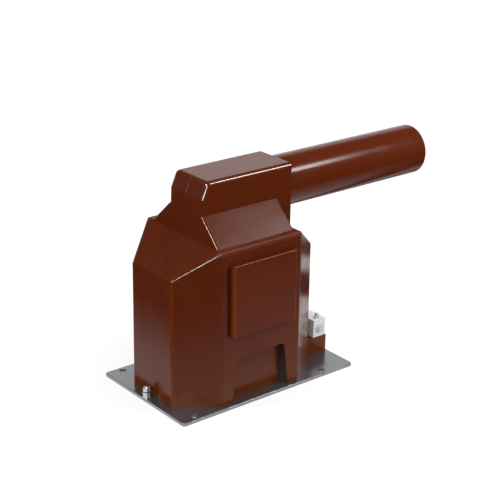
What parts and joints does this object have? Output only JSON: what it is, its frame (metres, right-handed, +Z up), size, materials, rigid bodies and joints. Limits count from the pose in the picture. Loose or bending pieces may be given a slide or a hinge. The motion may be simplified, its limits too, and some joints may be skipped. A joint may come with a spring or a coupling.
{
  "type": "cast resin voltage transformer",
  "caption": "Dark red-brown cast resin voltage transformer: octagonal block on a steel plate, with a long horizontal fuse tube on top and a clear terminal cover at its foot.",
  "frame": {"origin": "middle of the underside of the steel base plate", "axes": "+X along the fuse tube towards its open end, +Y across the body, +Z up"},
  "size_m": [0.6575, 0.25, 0.407],
  "materials": {
    "resin": "glossy cast epoxy, dark red-brown",
    "plate_steel": "satin rolled sheet",
    "zinc_steel": "zinc plated",
    "spring_steel": "dark spring steel",
    "brass": "turned",
    "nickel_brass": "nickel-plated brass",
    "clear_plastic": "clear moulded plastic",
    "rubber": "grey rubber",
    "fuse_ceramic": "glazed"
  },
  "bodies": {
    "root": {"resin_body": "resin", "base_plate": "plate_steel", "body_screws": "zinc_steel", "body_inserts": "brass", "earth_stud": "zinc_steel", "earth_washers": "zinc_steel", "earth_spring_washer": "spring_steel", "earth_nuts": "zinc_steel", "terminal_inserts": "brass", "terminal_screws": "nickel_brass", "terminal_clamps": "nickel_brass", "terminal_washers": "nickel_brass", "terminal_spring_washers": "spring_steel", "terminal_cover": "clear_plastic", "cover_inserts": "brass", "cover_screws": "nickel_brass", "cover_grommets": "rubber", "fuse_link": "fuse_ceramic", "fuse_caps": "nickel_brass", "fuse_socket": "brass", "contact_spring": "spring_steel", "tube_ring": "brass", "end_cap": "nickel_brass", "end_gasket": "rubber"}
  },
  "joints": []
}
